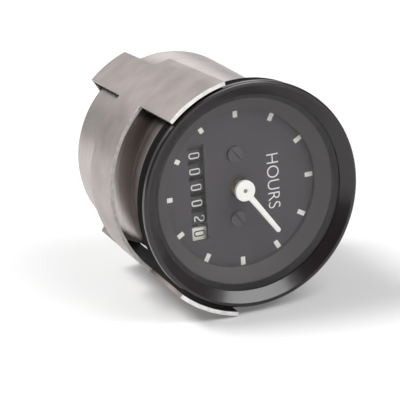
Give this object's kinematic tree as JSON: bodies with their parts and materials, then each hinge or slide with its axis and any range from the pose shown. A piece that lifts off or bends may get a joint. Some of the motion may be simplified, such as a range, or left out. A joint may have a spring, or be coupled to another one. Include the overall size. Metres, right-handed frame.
{
  "type": "hour meter",
  "caption": "Round panel hour meter: a metal can with a black bezel, a drum counter and a minute pointer under glass, and a sliding clamp bracket that holds it in a panel cut-out.",
  "frame": {"origin": "on the gauge axis, in the plane where the rear face of the gasket meets the panel", "axes": "the dial faces -Y and the terminals face +Y; +X is the dial's 12 o'clock and +Z its 9 o'clock, which is up in the picture"},
  "size_m": [0.0613, 0.0725, 0.0636],
  "materials": {
    "case_steel": "drawn and brushed",
    "bracket_steel": "satin, slightly smudged",
    "zinc_steel": "zinc plated",
    "shaft_steel": "turned",
    "plate_steel": "plain",
    "bezel_black": "satin black",
    "gasket_rubber": "matte",
    "lens_glass": "clear",
    "reflector_grey": "matte",
    "dial_grey": "matte dark grey",
    "screw_black": "blackened",
    "pointer_white": "white",
    "brass": "turned",
    "natural_plastic": "natural",
    "board_green": "solder mask",
    "drum_black": "black",
    "drum_white": "white",
    "block_black": "black",
    "tinned_brass": "tinned"
  },
  "bodies": {
    "meter": {"case_can": "case_steel", "case_neck": "case_steel", "bezel": "bezel_black", "gasket": "gasket_rubber", "lens": "lens_glass", "lens_seal": "gasket_rubber", "reflector_ring": "reflector_grey", "dial": "dial_grey", "dial_screws": "screw_black", "arbor_bush": "brass", "front_plate": "plate_steel", "pillars": "brass", "spacer_sleeve": "natural_plastic", "gearbox": "natural_plastic", "motor": "plate_steel", "drive_board": "board_green", "counter_frame": "plate_steel", "drum_shaft": "shaft_steel", "transfer_shaft": "shaft_steel", "bracket_studs": "zinc_steel", "terminal_block": "block_black", "terminal_blades": "tinned_brass"},
    "pointer": {"pointer": "pointer_white", "pointer_arbor": "shaft_steel", "minute_wheel": "brass"},
    "minute_pinion": {"minute_pinion": "shaft_steel"},
    "counter_pinion": {"counter_pinion": "natural_plastic"},
    "drum_tenths": {"drum_tenths": "drum_white"},
    "drum_5": {"drum_5": "drum_black"},
    "transfer_pinion_5": {"transfer_pinion_5": "natural_plastic"},
    "drum_4": {"drum_4": "drum_black"},
    "transfer_pinion_4": {"transfer_pinion_4": "natural_plastic"},
    "drum_3": {"drum_3": "drum_black"},
    "transfer_pinion_3": {"transfer_pinion_3": "natural_plastic"},
    "drum_2": {"drum_2": "drum_black"},
    "transfer_pinion_2": {"transfer_pinion_2": "natural_plastic"},
    "drum_1": {"drum_1": "drum_black"},
    "transfer_pinion_1": {"transfer_pinion_1": "natural_plastic"},
    "bracket": {"bracket": "bracket_steel", "washers": "zinc_steel"},
    "nut_upper": {"nut_upper": "zinc_steel"},
    "nut_lower": {"nut_lower": "zinc_steel"}
  },
  "joints": [
    {"name": "pointer_turn", "type": "hinge", "parent": "meter", "child": "pointer", "pos_m": [0, 0, 0], "axis": [0, 1, 0], "continuous": true},
    {"name": "minute_pinion_turn", "type": "hinge", "parent": "meter", "child": "minute_pinion", "pos_m": [0.0064, 0.005, 0], "axis": [0, 1, 0], "continuous": true},
    {"name": "counter_pinion_turn", "type": "hinge", "parent": "meter", "child": "counter_pinion", "pos_m": [-0.00206, 0.01273, 0], "axis": [0, 0, 1], "continuous": true},
    {"name": "drum_tenths_turn", "type": "hinge", "parent": "meter", "child": "drum_tenths", "pos_m": [-0.0117, 0.01015, 0], "axis": [0, 0, 1], "continuous": true},
    {"name": "drum_5_turn", "type": "hinge", "parent": "meter", "child": "drum_5", "pos_m": [-0.0117, 0.01015, 0], "axis": [0, 0, 1], "continuous": true},
    {"name": "transfer_pinion_5_turn", "type": "hinge", "parent": "meter", "child": "transfer_pinion_5", "pos_m": [-0.0117, 0.01813, 0], "axis": [0, 0, 1], "continuous": true},
    {"name": "drum_4_turn", "type": "hinge", "parent": "meter", "child": "drum_4", "pos_m": [-0.0117, 0.01015, 0], "axis": [0, 0, 1], "continuous": true},
    {"name": "transfer_pinion_4_turn", "type": "hinge", "parent": "meter", "child": "transfer_pinion_4", "pos_m": [-0.0117, 0.01813, 0], "axis": [0, 0, 1], "continuous": true},
    {"name": "drum_3_turn", "type": "hinge", "parent": "meter", "child": "drum_3", "pos_m": [-0.0117, 0.01015, 0], "axis": [0, 0, 1], "continuous": true},
    {"name": "transfer_pinion_3_turn", "type": "hinge", "parent": "meter", "child": "transfer_pinion_3", "pos_m": [-0.0117, 0.01813, 0], "axis": [0, 0, 1], "continuous": true},
    {"name": "drum_2_turn", "type": "hinge", "parent": "meter", "child": "drum_2", "pos_m": [-0.0117, 0.01015, 0], "axis": [0, 0, 1], "continuous": true},
    {"name": "transfer_pinion_2_turn", "type": "hinge", "parent": "meter", "child": "transfer_pinion_2", "pos_m": [-0.0117, 0.01813, 0], "axis": [0, 0, 1], "continuous": true},
    {"name": "drum_1_turn", "type": "hinge", "parent": "meter", "child": "drum_1", "pos_m": [-0.0117, 0.01015, 0], "axis": [0, 0, 1], "continuous": true},
    {"name": "transfer_pinion_1_turn", "type": "hinge", "parent": "meter", "child": "transfer_pinion_1", "pos_m": [-0.0117, 0.01813, 0], "axis": [0, 0, 1], "continuous": true},
    {"name": "bracket_slide", "type": "slide", "parent": "meter", "child": "bracket", "axis": [0, 1, 0], "range_m": [0, 0.011]},
    {"name": "nut_upper_turn", "type": "hinge", "parent": "bracket", "child": "nut_upper", "pos_m": [-0.00872, 0.0531, 0.01459], "axis": [0, 1, 0], "range_deg": [0, 5700]},
    {"name": "nut_lower_turn", "type": "hinge", "parent": "bracket", "child": "nut_lower", "pos_m": [-0.00872, 0.0531, -0.01459], "axis": [0, 1, 0], "range_deg": [0, 5700]}
  ],
  "couplings": [
    {"joint": "minute_pinion_turn", "follows": "pointer_turn", "ratio": -3},
    {"joint": "counter_pinion_turn", "follows": "pointer_turn", "ratio": -1.3333},
    {"joint": "drum_tenths_turn", "follows": "pointer_turn", "ratio": 1},
    {"joint": "drum_5_turn", "follows": "pointer_turn", "ratio": 0.1},
    {"joint": "transfer_pinion_5_turn", "follows": "pointer_turn", "ratio": -0.25},
    {"joint": "drum_4_turn", "follows": "pointer_turn", "ratio": 0.01},
    {"joint": "transfer_pinion_4_turn", "follows": "pointer_turn", "ratio": -0.025},
    {"joint": "drum_3_turn", "follows": "pointer_turn", "ratio": 0.001},
    {"joint": "transfer_pinion_3_turn", "follows": "pointer_turn", "ratio": -0.0025},
    {"joint": "drum_2_turn", "follows": "pointer_turn", "ratio": 0.0001},
    {"joint": "transfer_pinion_2_turn", "follows": "pointer_turn", "ratio": -0.00025},
    {"joint": "drum_1_turn", "follows": "pointer_turn", "ratio": 0.00001},
    {"joint": "transfer_pinion_1_turn", "follows": "pointer_turn", "ratio": -0.000025},
    {"joint": "nut_upper_turn", "follows": "bracket_slide", "rad_per_m": 8976},
    {"joint": "nut_lower_turn", "follows": "bracket_slide", "rad_per_m": 8976}
  ]
}
